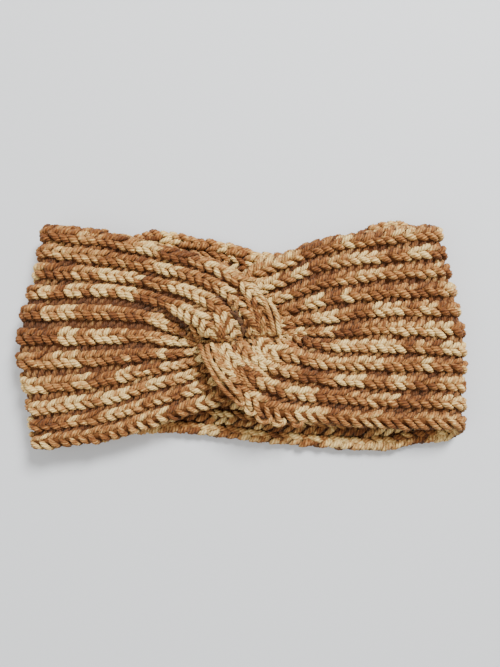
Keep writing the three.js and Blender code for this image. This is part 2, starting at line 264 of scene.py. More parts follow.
class Strip:
    """The strip as fine grids of its middle and its faces, from its left end, run 0, to its right end."""

    ROWS_PER_STATION = 44
    ROWS_PER_FOLD = 34
    ROWS_ON_BACK = 320
    COLUMNS = 133
    BEYOND = 0.09

    def __init__(self):
        """The grid is laid piece by piece along the run, and goes a little past both edges."""
        inside = np.linspace(-1, 1, self.COLUMNS)
        fronts = np.arange(self.ROWS_PER_STATION * STATIONS) / self.ROWS_PER_STATION
        fold = np.arange(self.ROWS_PER_FOLD) / self.ROWS_PER_FOLD
        back = np.arange(self.ROWS_ON_BACK) / self.ROWS_ON_BACK
        left, left_share = front_grid(LEFT_GUIDES, inside, STATIONS - fronts)
        right_stations = np.append(fronts, STATIONS)
        right, right_share = front_grid(RIGHT_GUIDES, inside, right_stations)
        pieces = [
            left,
            fold_grid(LEFT_GUIDES, inside, fold, 0, -1),
            back_grid(inside, back),
            fold_grid(RIGHT_GUIDES, inside, 1 - fold, 1, 1),
            right,
        ]
        whole = np.ones((2 * len(fold) + len(back), self.COLUMNS))
        share = np.vstack([left_share, whole, right_share])
        self.runs = np.concatenate(
            [fronts, LEFT_FOLD + fold, BACK_START + back, RIGHT_FOLD + fold, RIGHT_START + right_stations])
        point = np.vstack(pieces)
        past = self.BEYOND / (inside[1] - inside[0])
        low = point[:, :1] + (point[:, :1] - point[:, 1:2]) * past
        high = point[:, -1:] + (point[:, -1:] - point[:, -2:-1]) * past
        self.across = np.concatenate([[-1 - self.BEYOND], inside, [1 + self.BEYOND]])
        point = np.hstack([low, point, high])
        self.share = np.hstack([share[:, :1], share, share[:, -1:]])
        self.pitch = np.linalg.norm(np.gradient(point, self.across, axis=1), axis=2) * 2 / RIBS
        self.normal = self.way_up(point)
        steps = np.linalg.norm(np.diff(point, axis=0), axis=2)
        zero = np.zeros((1, point.shape[1]))
        self.length = np.vstack([zero, np.cumsum(steps, axis=0)])
        self.shift = self.offset(point)
        self.point = point + self.shift
        self.skin, self.up = {}, {}
        for face in (1, -1):
            self.skin[face] = self.point + self.normal * (face * WALL / 2) * self.share[..., None]
            self.up[face] = face * self.way_up(self.skin[face])

    def way_up(self, grid):
        """Unit normals of a grid: its way across by its way along."""
        normal = np.cross(np.gradient(grid, self.across, axis=1), np.gradient(grid, self.runs, axis=0))
        return normal / np.maximum(np.linalg.norm(normal, axis=2, keepdims=True), 1e-9)

    def offset(self, point):
        """From the guide tables' frame to the CAD frame: the middle of the strip goes over the origin."""
        outside = point + self.normal * (WALL / 2) * self.share[..., None]
        flat = outside[:, 1:-1].reshape(-1, 3)
        low, high = flat.min(0), flat.max(0)
        edge_low, edge_high = point[:, 1, 1].min(), point[:, -2, 1].max()
        return -np.array([(low[0] + high[0]) / 2, (edge_low + edge_high) / 2, 0])

    def at(self, grids, run, across):
        """The values of some grids at runs and places across, from four points weighted by nearness."""
        row = np.interp(run, self.runs, np.arange(len(self.runs)))
        column = np.interp(across, self.across, np.arange(len(self.across)))
        i = np.minimum(row.astype(int), len(self.runs) - 2)
        j = np.minimum(column.astype(int), len(self.across) - 2)
        f, g = row - i, column - j
        values = []
        for grid in grids:
            wide = (..., None) if grid.ndim == 3 else ...
            near = grid[i, j] * (1 - g)[wide] + grid[i, j + 1] * g[wide]
            far = grid[i + 1, j] * (1 - g)[wide] + grid[i + 1, j + 1] * g[wide]
            values.append(near * (1 - f)[wide] + far * f[wide])
        return values

    def outside(self, run, across):
        """Points of the outer skin, and the ways up from it."""
        return self.at((self.skin[1], self.up[1]), run, across)

    def line(self, across):
        """The lengths along the line at one place across, from the right end, and the runs there."""
        column = np.interp(across, self.across, np.arange(len(self.across)))
        j = min(int(column), len(self.across) - 2)
        length = self.length[:, j] * (1 - column + j) + self.length[:, j + 1] * (column - j)
        return (length[-1] - length)[::-1], self.runs[::-1]


# The strands of one stitch. Each row is a point that the yarn passes: how far along, in stitches; how far
# to the side, in ribs; the height above the strip's middle, in millimetres; and the yarn's girth.
UPPER_ARM = (
    (-0.16, 0.01, 0.35, 0.66),
    (0.06, 0.075, 1.25, 0.98),
    (0.34, 0.165, 1.80, 1.16),
    (0.62, 0.25, 1.70, 1.16),
    (0.90, 0.32, 1.08, 0.98),
    (1.16, 0.37, 0.15, 0.58),
)
LOWER_ARM = (
    (-0.18, 0.10, 0.20, 0.62),
    (0.02, 0.03, 1.25, 0.94),
    (0.30, -0.09, 1.92, 1.18),
    (0.58, -0.20, 1.80, 1.20),
    (0.90, -0.295, 1.12, 1.00),
    (1.22, -0.365, 0.15, 0.56),
)
VALLEY_STRAND = (
    (-0.52, -0.31, -0.85, 0.84),
    (-0.26, -0.155, -0.45, 1.00),
    (0.00, 0.00, -0.32, 1.04),
    (0.26, 0.155, -0.45, 1.00),
    (0.52, 0.31, -0.85, 0.84),
)
LONG_STRAND = (
    (-0.30, 0.22, -0.40, 0.76),
    (0.10, 0.16, 0.95, 0.96),
    (0.70, 0.05, 1.55, 1.04),
    (1.40, -0.08, 1.50, 1.04),
    (2.00, -0.18, 0.80, 0.96),
    (2.40, -0.24, -0.50, 0.76),
)
EDGE_STRAND = (
    (-0.14, 0.08, 0.40, 0.76),
    (0.10, -0.04, 1.55, 1.00),
    (0.42, -0.24, 1.75, 1.08),
    (0.74, -0.41, 1.20, 1.06),
    (1.12, -0.52, 0.30, 1.00),
    (1.50, -0.53, -0.70, 0.94),
    (1.75, -0.44, -1.50, 0.76),
)
RIM_LOOP = (
    (0.00, -0.20, 0.70, 0.78),
    (0.30, -0.34, 1.20, 1.00),
    (0.62, -0.46, 0.70, 1.06),
    (0.92, -0.52, -0.30, 1.02),
    (1.12, -0.46, -1.20, 0.94),
    (1.25, -0.30, -1.60, 0.76),
)


def strand_table(rows, rings):
    """The columns of a strand's table, drawn out smoothly to so many rings."""
    knots = np.linspace(0, 1, len(rows))
    return through(knots, np.array(rows), np.linspace(0, 1, rings)).T


class DyeRuns:
    """The dyed yarn's tones along one rib: runs of cream between runs of tan, camel and brown, with short
    blends between them. Places are counted in stitches."""

    CREAM_CHANCE = 0.45
    CREAM = {"tones": (0.72, 0.98), "lengths": (0.9, 3.2)}
    DARKER = {"tones": (0.10, 0.66), "lengths": (0.7, 2.6)}
    BLEND = 0.3

    def __init__(self, rng, reach):
        place, was_cream = -3.0, False
        self.knots, self.tones = [], []
        while place < reach + 3:
            is_cream = not was_cream and rng.random() < self.CREAM_CHANCE
            kind = self.CREAM if is_cream else self.DARKER
            tone, length = rng.uniform(*kind["tones"]), rng.uniform(*kind["lengths"])
            self.knots += [place + self.BLEND, place + length - self.BLEND]
            self.tones += [tone, tone + rng.normal(0, 0.05)]
            place, was_cream = place + length, is_cream

    def dip(self, low, high, tone):
        """Gives the knots between two places one tone."""
        knots = np.array(self.knots)
        self.tones = np.where((knots > low) & (knots < high), tone, self.tones)

    def at(self, place):
        """The tone at places along the rib, straight between the knots."""
        return np.interp(place, self.knots, self.tones)


# The cream runs on the knob: the rib, the start and the stop in stitches before its end, and the tone.
KNOB_CREAM = (
    (2, 10, 5, 0.90),
    (2, 3, -2, 0.84),
    (3, 6, -1, 0.92),
)


def placed(name, data):
    """An object for a mesh, a lamp or the camera, in the scene's own collection."""
    thing = bpy.data.objects.new(name, data)
    bpy.context.scene.collection.objects.link(thing)
    return thing


def give_values(me, name, values):
    """A value for each vertex, under the name by which the materials read it."""
    layer = me.attributes.new(name, "FLOAT", "POINT")
    layer.data.foreach_set("value", values.astype(np.float32).ravel())


def tube_faces(count, rings, sides):
    """The corners of so many tubes' faces: quads between the rings, and a cap at each end."""
    here = np.arange(sides)
    there = (here + 1) % sides
    first = (np.arange(count) * rings * sides)[:, None]
    ring_start = first[:, :, None] + (np.arange(rings - 1) * sides)[None, :, None]
    a, b = ring_start + here, ring_start + there
    quads = np.stack([a, a + sides, b + sides, b], axis=-1).reshape(-1, 4)
    caps = np.concatenate([first + here, first + (rings - 1) * sides + here[::-1]])
    return quads, caps


def tube_places(along, sides):
    """The place of each quad's corners on the yarn: U is the length along it in millimetres, and V is the
    share of the way round it."""
    here = np.arange(sides)
    turn = np.stack([here, here, here + 1, here + 1], axis=-1) / sides
    turn = np.broadcast_to(turn, (len(along), along.shape[1] - 1, sides, 4))
    ends = np.stack([along[:, :-1], along[:, 1:], along[:, 1:], along[:, :-1]], axis=-1)
    ends = np.broadcast_to(ends[:, :, None], turn.shape)
    return np.stack([ends, turn], axis=-1).reshape(-1, 2)


class Bundle:
    """Strands that are gathered to be made into one mesh."""

    # Each strand's plies start at another turn, by the golden share, so no two neighbours are alike.
    GOLDEN_SHARE = 0.618
    # The share of the light that the yarn's underside loses, painted into its colour as shade.
    SIDE_SHADE = 0.6

    def __init__(self):
        self.centre, self.up, self.radius, self.tone, self.light, self.along = [], [], [], [], [], []

    def add(self, centre, up, radius, tone, light):
        """Strands as arrays of rings: the middle of the yarn, the way up, its radius, its dye's tone, and
        how much light gets down to it."""
        steps = np.linalg.norm(np.diff(centre, axis=1), axis=2)
        start = np.zeros((len(centre), 1))
        self.centre.append(centre)
        self.up.append(up)
        self.radius.append(radius)
        self.tone.append(tone)
        self.light.append(light)
        self.along.append(np.hstack([start, np.cumsum(steps, axis=1)]))

    def add_one(self, centre, up, radius, tone, light):
        """One strand whose thickness and light are even."""
        even = np.ones((1, len(centre)))
        self.add(centre[None], up[None], radius * even, tone[None], light * even)

    def mesh(self, name, sides):
        """Tubes round the strands: each ring is a circle in the plane across the yarn that is drawn in
        between the plies, as a sine, and turns with them on its way along. Each end has a flat cap. Yarn
        that would go below the floor is pressed flat on it."""
        centre, up = np.concatenate(self.centre), np.concatenate(self.up)
        radius, tone = np.concatenate(self.radius), np.concatenate(self.tone)
        count, rings = radius.shape
        start = np.arange(count) * self.GOLDEN_SHARE % 1 * PLY_TURN
        along = np.concatenate(self.along) + start[:, None]
        tangent = np.gradient(centre, axis=1)
        tangent /= np.linalg.norm(tangent, axis=2, keepdims=True)
        side = np.cross(tangent, up)
        side /= np.linalg.norm(side, axis=2, keepdims=True)
        rise = np.cross(side, tangent)
        turn = np.arange(sides) / sides
        angle = 2 * math.pi * (turn + along[..., None] / PLY_TURN)
        lobe = 1 - PLY_DEPTH * (1 - np.abs(np.sin(math.pi * PLIES * turn))) + PLY_DEPTH / 4
        ring = side[:, :, None] * np.cos(angle)[..., None] + rise[:, :, None] * np.sin(angle)[..., None]
        points = centre[:, :, None] + ring * (radius[..., None] * lobe)[..., None]
        points[..., 2] = np.maximum(points[..., 2], FLOOR_TOUCH)
        light = np.concatenate(self.light)[..., None] * (1 - self.SIDE_SHADE * (1 - np.sin(angle)) / 2)

        quads, caps = tube_faces(count, rings, sides)
        loops = np.concatenate([quads.ravel(), caps.ravel()])
        starts = np.concatenate([np.arange(len(quads)) * 4, len(quads) * 4 + np.arange(len(caps)) * sides])
        me = bpy.data.meshes.new(name)
        me.vertices.add(count * rings * sides)
        me.vertices.foreach_set("co", (points * MM).ravel())
        me.loops.add(len(loops))
        me.loops.foreach_set("vertex_index", loops.astype(np.int32))
        me.polygons.add(len(starts))
        me.polygons.foreach_set("loop_start", starts.astype(np.int32))
        me.update(calc_edges=True)
        me.polygons.foreach_set("use_smooth", np.ones(len(starts), bool))
        uv = np.concatenate([tube_places(along, sides), np.zeros((caps.size, 2))])
        me.uv_layers.new(name="yarn").data.foreach_set("uv", uv.astype(np.float32).ravel())
        give_values(me, "tone", np.repeat(tone, sides, axis=1))
        give_values(me, "light", light)
        return placed(name, me)


STRIP = Strip()
STITCHES = int(round(STRIP.length[-1].mean() / STITCH_LENGTH))
RIB_PITCH = STRIP.pitch[len(STRIP.runs) // 2].mean()

# How far one stitch differs from the next: along and reach in stitches, aside in ribs, height in
# millimetres, and spread and girth as shares. The knot's stitches differ more, by another share.
UNEVEN = {"reach": 0.05, "along": 0.04, "spread": 0.08, "aside": 0.03, "height": 0.2, "girth": 0.08}
KNOT_JITTER = 0.6
# Some stitches have quite another tone than the dye's run, and every stitch is a little off.
ODD_STITCHES = {"chance": 0.16, "tones": (-0.4, 0.45)}
TONE_NOISE = 0.08
FIRST_STITCH = 0.1
# The painted shade by height: how high above the strip's middle the yarn is in the dark and in full light, in
# millimetres.
DARK_HEIGHT, LIT_HEIGHT = -1.7, 1.7
# The inner face's stitches: the least height of their yarn, and its girth away from the back.
INNER_FLOOR, INNER_GIRTH = 1.55, 0.84
# How much of its depth and of its girth the yarn keeps where the wall is rolled away.
ROLLED_DEPTH, ROLLED_GIRTH = 0.5, 0.3
# Where the ribs crowd together the yarn gets thinner, by a power of their pitch between two limits.
CROWDING = {"pitch": 0.97, "least": 0.5, "most": 1.08, "power": 0.7}
# Where the ribs are wide the valleys' strands are raised, from one width on.
LIFTING = {"start": 0.78, "length": 0.2, "most": 1.5}
# The knot's reach from a lobe's end and its fading, in stations, and its least share for long strands.
KNOT = {"reach": 2.6, "fade": 1.6, "least": 0.4}
# The painted shadow in the groove behind the knob: its line and width across, its start and rise on the run,
# and its depth, the share of light it takes.
KNOB_SHADOW = {"line": 0.64, "width": 0.06, "start": 2.7, "rise": 1.2, "depth": 0.85}
# The stitches' width for their pitch: in general, less on the stretched ribs, and more at the knot. Then
# the middle one of the stretched ribs, how many they are, and how they fade to both ends of the front.
RIBBING = {"width": 0.90, "less": 0.13, "more": 0.16, "rib": 4.2, "ribs": 2.0, "to_back": 1.5, "to_knot": 4}


def rib_across(rib):
    """Place across of a rib's middle line, counted from the upper edge."""
    return 1 - (2 * rib + 1) / RIBS


def stitch_lengths(count, total):
    """Lengths along a line up to each of so many stitches: even steps, a little longer on the right front
    and shorter on the left front."""
    share = count / STITCHES
    return total * (share + STITCH_SPREAD * (1 - np.cos(2 * math.pi * share)) / (2 * math.pi))


def knotted(run):
    """1 where the lobes cross the knot and 0 away from it."""
    left = smooth((KNOT["reach"] - run) / KNOT["fade"])
    right = smooth((run - (RUN - KNOT["reach"])) / KNOT["fade"])
    return np.maximum(left, right)


def knob_light(run, across):
    """The share of light that gets down beside the knob: little in the groove behind it, all elsewhere."""
    behind = np.exp(-(((across - KNOB_SHADOW["line"]) / KNOB_SHADOW["width"]) ** 2))
    return 1 - KNOB_SHADOW["depth"] * behind * smooth((KNOB_SHADOW["start"] - run) / KNOB_SHADOW["rise"])


def ribbing(run, rib, face):
    """How wide a rib's stitches lie for its pitch: drawn together on the left front's middle ribs, where
    the valleys are stretched open, full where the lobes cross the knot, and a little drawn in elsewhere. On
    the inner face they take the whole pitch."""
    if face == -1:
        return np.ones_like(run)
    left = smooth((BACK_START - run) / RIBBING["to_back"]) * smooth((run + 1) / RIBBING["to_knot"])
    middle = math.exp(-(((rib - RIBBING["rib"]) / RIBBING["ribs"]) ** 2))
    knot = knotted(run)
    return RIBBING["width"] - RIBBING["less"] * left * middle * (1 - knot) + RIBBING["more"] * knot


def lay(table, rings, rib, face, rng, dye, first=0.0, per_stitch=1, spread=1.0, lean=1.0, mirror=1,
        painted_shade=0.0, shift=0.0, lift=0.0, at_knot=False, plump=1.0):
    """Strands of one kind along one rib, per_stitch of them for each stitch from the first: the table's
    points, stretched by the stitch's length and the rib's pitch, and carried on the skin of the outer face,
    1, or the inner face, -1. Lean is the share of their length that they keep on the left front, spread that
    of their width, and mirror -1 turns them over. The dark share lowers their dye's tone as painted shade,
    shift changes their dye, lift raises them where the ribs are wide, at_knot keeps those at the knot alone,
    and plump makes them thicker."""
    along, aside, height, girth = strand_table(table, rings)
    if face == -1:
        height = np.maximum(height, INNER_FLOOR)
    across = rib_across(rib)
    lengths, runs = STRIP.line(across)
    place = (np.arange(int(STITCHES * per_stitch)) + FIRST_STITCH) / per_stitch + first
    middle_run = np.interp(stitch_lengths(place, lengths[-1]), lengths, runs)
    if at_knot:
        kept = knotted(middle_run) > KNOT["least"]
        place, middle_run = place[kept], middle_run[kept]
    place, middle_run = place[:, None], middle_run[:, None]
    draws = rng.normal(0, 1, (len(UNEVEN), len(place), 1))
    jitter = {name: UNEVEN[name] * draw for name, draw in zip(UNEVEN, draws)}
    loose = 1 + KNOT_JITTER * knotted(middle_run)
    on_left = smooth(BACK_START - middle_run)
    reach = along * (1 + jitter["reach"] * loose) * (1 - on_left * (1 - lean))
    s = stitch_lengths(np.clip(place + reach + jitter["along"], 0, STITCHES), lengths[-1])
    run = np.interp(s, lengths, runs)
    close = ribbing(middle_run, rib, face)
    wide = spread * close * (1 + jitter["spread"])
    height = height + lift * np.clip((close - LIFTING["start"]) / LIFTING["length"], 0, LIFTING["most"])
    where = across + (mirror * aside * wide + jitter["aside"] * loose) * 2 / RIBS
    light = smooth((height - DARK_HEIGHT) / (LIT_HEIGHT - DARK_HEIGHT)) * knob_light(run, where)
    grids = (STRIP.skin[face], STRIP.up[face], STRIP.share, STRIP.pitch)
    skin, up, share, pitch = STRIP.at(grids, run, where)
    up = up / np.linalg.norm(up, axis=-1, keepdims=True)
    depth = (WALL / 2 - height - jitter["height"] * loose) * at_least(ROLLED_DEPTH, share)
    centre = skin - up * depth[..., None]
    crowd = np.clip(pitch / (RIB_PITCH * CROWDING["pitch"]), CROWDING["least"], CROWDING["most"])
    radius = YARN_RADIUS * plump * girth * (1 + jitter["girth"]) * crowd ** CROWDING["power"]
    if face == -1:
        back = (run > BACK_START) & (run < RIGHT_FOLD)
        radius = radius * np.where(back, 1, INNER_GIRTH) * at_least(ROLLED_GIRTH, share)
    each = (len(place), 1)
    odd = (rng.random(each) < ODD_STITCHES["chance"]) * rng.uniform(*ODD_STITCHES["tones"], each)
    tone = dye.at(place + 0.5 * along + shift) + odd + rng.normal(0, TONE_NOISE, each)
    return centre, up, radius, np.clip(tone * (1 - painted_shade), 0, 1), light


class Wire:
    """An output socket of a material. Sums, differences and products of wires add their Math nodes."""

    def __init__(self, graph, socket):
        self.graph, self.socket = graph, socket

    def maths(self, operation, *values):
        return self.graph.node("ShaderNodeMath", {"operation": operation}, dict(enumerate(values)))

    def __add__(self, other):
        return self.maths("ADD", self, other)

    __radd__ = __add__

    def __sub__(self, other):
        return self.maths("SUBTRACT", self, other)

    def __rsub__(self, other):
        return self.maths("SUBTRACT", other, self)

    def __mul__(self, other):
        return self.maths("MULTIPLY", self, other)

    __rmul__ = __mul__

    def __pow__(self, other):
        return self.maths("POWER", self, other)

    def sine(self):
        return self.maths("SINE", self)

    def size(self):
        return self.maths("ABSOLUTE", self)


class Graph:
    """The node tree of one material."""

    def __init__(self, name, shader):
        """A material with one Principled shader, whose sockets take the values that are even all over."""
        self.material = bpy.data.materials.new(name)
        self.material.use_nodes = True
        self.tree = self.material.node_tree
        self.shader = self.tree.nodes["Principled BSDF"]
        for socket, value in shader.items():
            self.shader.inputs[socket].default_value = value

    def node(self, kind, settings=None, sockets=None, output=0):
        """One node of that kind: its settings first, then its sockets' values or wires."""
        node = self.tree.nodes.new(kind)
        for key, value in (settings or {}).items():
            if key == "stops":
                self.set_stops(node.color_ramp, value)
            else:
                setattr(node, key, value)
        for key, value in (sockets or {}).items():
            if isinstance(value, Wire):
                self.tree.links.new(value.socket, node.inputs[key])
            else:
                node.inputs[key].default_value = value
        return Wire(self, node.outputs[output])

    @staticmethod
    def set_stops(ramp, stops):
        """The ramp's colours at their places."""
        while len(ramp.elements) < len(stops):
            ramp.elements.new(0.5)
        for element, (place, colour) in zip(ramp.elements, stops):
            element.position = place
            element.color = (*colour, 1)

    def feed(self, socket, wire):
        """A wire into one of the shader's sockets."""
        self.tree.links.new(wire.socket, self.shader.inputs[socket])

    def raise_by(self, relief, height):
        """The surface raised by a relief from 0 to 1, as bump."""
        bump = self.node("ShaderNodeBump", None, {"Strength": 1.0, "Distance": height, "Height": relief})
        self.feed("Normal", bump)


# The yarn's dyed colours, from the darkest to the lightest, as they look in plain light.
DYES = (
    (0.00, (0.185, 0.066, 0.021)),
    (0.20, (0.275, 0.107, 0.032)),
    (0.40, (0.420, 0.186, 0.057)),
    (0.58, (0.520, 0.264, 0.090)),
    (0.70, (0.635, 0.370, 0.130)),
    (0.82, (0.835, 0.562, 0.215)),
    (1.00, (0.965, 0.715, 0.300)),
)
# The ground's colours, a painted shade of the yarn, from the darkest in the valleys to the crests.
GROUND_SHADE_COLOURS = (
    (0.10, (0.090, 0.030, 0.011)),
    (0.45, (0.130, 0.048, 0.016)),
    (0.75, (0.160, 0.062, 0.020)),
    (1.00, (0.180, 0.072, 0.023)),
)
# How fast red, green and blue light fade on their way down between the plies, and down between the strands.
FADING = (1.0, 1.35, 1.7)
DEEP_FADING = (1.0, 1.22, 1.40)
# The painted shade's dull brown that any dye is mixed towards where little light gets down, deep between the
# ribs.
SHADE_BROWN = (0.235, 0.150, 0.105, 1)
# The noises' scales per metre, and how high the bumps stand, in metres.
FIBRE_SCALE, PATCH_SCALE, GROUND_SCALE = 2300.0, 420.0, 700.0
YARN_BUMP, GROUND_BUMP = 0.0005, 0.0006


def noise(graph, place, scale, detail=3.0):
    """Noise at a place, from 0 to 1 about a half."""
    return graph.node("ShaderNodeTexNoise", None, {"Vector": place, "Scale": scale, "Detail": detail})


def attribute(graph, name):
    """A value that the mesh has at each vertex."""
    return graph.node("ShaderNodeAttribute", {"attribute_name": name}, output="Fac")


def yarn_material(name, dyes, bump_height):
    """Plied wool: the dye by the strand's tone, with painted shade between the plies and deep between the
    strands, where it also goes towards a dull brown, and with the plies and the loose fibres raised by bump.
    U is the way along the yarn and V round it."""
    graph = Graph(name, {
        "Roughness": 0.92, "Sheen Weight": 0.12, "Sheen Roughness": 0.5, "Sheen Tint": (1.0, 0.86, 0.66, 1),
        "Specular IOR Level": 0.18})
    tone, light = attribute(graph, "tone"), attribute(graph, "light")
    uv = graph.node("ShaderNodeUVMap", {"uv_map": "yarn"})
    along = graph.node("ShaderNodeSeparateXYZ", None, {0: uv}, output="X")
    turn = graph.node("ShaderNodeSeparateXYZ", None, {0: uv}, output="Y")
    place = graph.node("ShaderNodeTexCoord", output="Object")
    fibre = noise(graph, place, FIBRE_SCALE)
    patch = noise(graph, place, PATCH_SCALE, 4.0)
    hairs_round, hair_slant, hairs_along, hair_stray = 7.5 * 3.4, 0.6 * 3.4, 0.7, 2.0
    hair = noise(graph, graph.node("ShaderNodeCombineXYZ", None, {
        0: turn * hairs_round + along * hair_slant, 1: along * hairs_along, 2: patch * hair_stray}), 1.0)
    streaks_round, streaks_along, streak_stray = 6.0, 0.22, 9.0
    streak = noise(graph, graph.node("ShaderNodeCombineXYZ", None, {
        0: turn * streaks_round, 1: along * streaks_along, 2: tone * streak_stray}), 1.0, 1.0)
    patch_stain, streak_stain = 1.3, 0.9
    stained = tone + (patch - 0.5) * patch_stain + (streak - 0.5) * streak_stain
    dye = graph.node("ShaderNodeValToRGB", {"stops": dyes}, {"Fac": stained})
    # Painted shade in the grooves between the plies, less on cream and less where little light gets down,
    # times random mottling from the hairs and fibres.
    ply_sharpness, ply_shade, less_on_cream, deep_ply_shade = 0.8, 0.56, 0.22, 0.25
    ply = (turn * (math.pi * PLIES)).sine().size() ** ply_sharpness
    plied = 1 - (ply_shade - less_on_cream * tone) * (1 - ply) * at_least(deep_ply_shade, light)
    hair_dark, hair_change, fibre_dark, fibre_change = 0.60, 0.76, 0.80, 0.40
    shade = plied * (hair_dark + hair_change * hair) * (fibre_dark + fibre_change * fibre)
    # Painted shade deep between the strands, from the light attribute, with green and blue fading faster than
    # red.
    deep_shade = at_least(0.33, light)
    shade_tint = graph.node("ShaderNodeCombineXYZ", None, {
        i: shade ** power * deep_shade ** deep for i, (power, deep) in enumerate(zip(FADING, DEEP_FADING))})
    dull_in_dark, less_in_light = 0.8, 1.6
    # Painted shade: the dye goes towards the dull brown where little light gets down.
    shade_dulled = graph.node("ShaderNodeMix", {"data_type": "RGBA"}, {
        "Factor": dull_in_dark - less_in_light * light, 6: dye, 7: SHADE_BROWN}, output=2)
    colour = graph.node("ShaderNodeMix", {"data_type": "RGBA", "blend_type": "MULTIPLY"}, {
        "Factor": 1.0, 6: shade_dulled, 7: shade_tint}, output=2)
    graph.feed("Base Color", colour)
    ply_relief, hair_relief, fibre_relief = 0.5, 0.5, 0.35
    relief = ply * ply_relief + hair * hair_relief + fibre * fibre_relief
    graph.raise_by(relief, bump_height)
    return graph.material


def ground_material():
    """The body of the knitting in painted shade: dark brown in the valleys, and camel brown behind the ribs.
    """
    graph = Graph("shaded_yarn", {"Roughness": 0.95, "Specular IOR Level": 0.1})
    fibre = noise(graph, graph.node("ShaderNodeTexCoord", output="Object"), GROUND_SCALE)
    by_crest, by_fibre = 0.8, 0.5
    place = attribute(graph, "crest") * by_crest + (fibre - 0.5) * by_fibre
    graph.feed("Base Color", graph.node("ShaderNodeValToRGB", {"stops": GROUND_SHADE_COLOURS}, {"Fac": place}))
    graph.raise_by(fibre, GROUND_BUMP)
    return graph.material


# The floor and the light: places and sizes in metres, and power in watts.
FLOOR = {"Base Color": (0.72, 0.74, 0.76, 1), "Roughness": 0.9}
FLOOR_REACH = 3.0
LAMPS = (
    {"name": "key", "place": (0.48, 0.72, 0.90), "size": 0.36, "power": 28.2},
    {"name": "fill", "place": (-0.7, -0.4, 1.0), "size": 1.2, "power": 8.0},
)
SKY = {"Color": (1.0, 0.98, 0.95, 1), "Strength": 0.50}


def stage_floor():
    """A plain pale floor under the band, and soft studio light from lamps that face the origin."""
    me = bpy.data.meshes.new("floor")
    far = FLOOR_REACH
    me.from_pydata([(-far, -far, 0), (far, -far, 0), (far, far, 0), (-far, far, 0)], [], [(0, 1, 2, 3)])
    pale = Graph("pale_floor", FLOOR)
    me.materials.append(pale.material)
    placed("floor", me)
    for lamp in LAMPS:
        light = bpy.data.lights.new(lamp["name"], "AREA")
        light.energy = lamp["power"]
        light.size = lamp["size"]
        holder = placed(lamp["name"], light)
        holder.location = lamp["place"]
        x, y, z = -np.array(lamp["place"]) / np.linalg.norm(lamp["place"])
        holder.rotation_euler = (math.acos(-z), 0, math.atan2(x, -y) + math.pi)
    world = bpy.data.worlds.new("soft_sky")
    world.use_nodes = True
    for socket, value in SKY.items():
        world.node_tree.nodes["Background"].inputs[socket].default_value = value
    bpy.context.scene.world = world


# The camera looks almost straight down, as the photo was taken: places and distances in millimetres.
CAMERA = {"lens": 27.0, "sensor": 36.0, "near": 10.0, "distance": 249.5, "aim": (4.5, -0.3, 14.0),
          "elevation": 86.0}


def place_camera():
    """The camera on its line of sight at the given distance from the point that it looks at."""
    data = bpy.data.cameras.new("camera")
    data.lens = CAMERA["lens"]
    data.sensor_width = CAMERA["sensor"]
    data.clip_start = CAMERA["near"] * MM
    camera = placed("camera", data)
    tilt = math.radians(90 - CAMERA["elevation"])
    sight = np.array([0, -math.sin(tilt), math.cos(tilt)])
    camera.location = (np.array(CAMERA["aim"]) + CAMERA["distance"] * sight) * MM
    camera.rotation_euler = (tilt, 0, 0)
    bpy.context.scene.camera = camera


# The ground under the stitches, in millimetres: how high it lies, how far it waves, half its own thickness,
# and how far it sinks where the wall is rolled away. Then where it ends, as a place across.
GROUND_LIFT, GROUND_WAVE, GROUND_HALF, GROUND_SINK = 0.3, 0.9, 0.45, 1.3
GROUND_EDGE = 0.985
GROUND_LINES_PER_RIB, GROUND_ROW_STEP = 8, 6


def ground_cloth():
    """The close body of the knitting: a closed thin sheet that waves up under the ribs and down in between,
    as minus the cosine of the place across, and thins to its edges as a square root."""
    across = np.linspace(-GROUND_EDGE, GROUND_EDGE, GROUND_LINES_PER_RIB * RIBS + 1)
    runs = STRIP.runs[::GROUND_ROW_STEP]
    if runs[-1] != STRIP.runs[-1]:
        runs = np.append(runs, STRIP.runs[-1])
    run_grid, across_grid = np.meshgrid(runs, across, indexing="ij")
    point, normal, share = STRIP.at((STRIP.point, STRIP.normal, STRIP.share), run_grid, across_grid)
    rib = np.cos(math.pi * RIBS * (1 - across_grid))
    rounding, thinnest = 0.06, 0.02
    edge = np.sqrt(np.clip((1 - np.abs(across_grid)) / rounding, thinnest, 1))
    wave = (GROUND_LIFT - GROUND_WAVE * rib) * share - GROUND_SINK * (1 - share)
    outer = point + normal * (wave + GROUND_HALF * edge)[..., None]
    inner = point + normal * (wave - GROUND_HALF * edge)[..., None]
    rows, columns = across_grid.shape
    ring = np.concatenate([outer, inner[:, ::-1]], axis=1)
    size = ring.shape[1]
    a = (np.arange(rows - 1) * size)[:, None] + np.arange(size)
    b = (np.arange(rows - 1) * size)[:, None] + (np.arange(size) + 1) % size
    quads = np.stack([a, b, b + size, a + size], axis=-1).reshape(-1, 4)
    j = np.arange(columns - 1)
    near_end = np.stack([j, size - 1 - j, size - 2 - j, j + 1], axis=-1)
    far_end = near_end[:, ::-1] + (rows - 1) * size
    faces = np.concatenate([quads, near_end, far_end])
    me = bpy.data.meshes.new("rib_ground")
    me.from_pydata((ring.reshape(-1, 3) * MM).tolist(), [], faces.tolist())
    me.polygons.foreach_set("use_smooth", np.ones(len(me.polygons), bool))
    give_values(me, "crest", 0.5 - 0.5 * np.concatenate([rib, rib[:, ::-1]], axis=1))
    return placed("rib_ground", me)


def gathered(name, sides, lots):
    """One mesh of several lots of strands."""
    bundle = Bundle()
    for lot in lots:
        bundle.add(*lot)
    return bundle.mesh(name, sides)


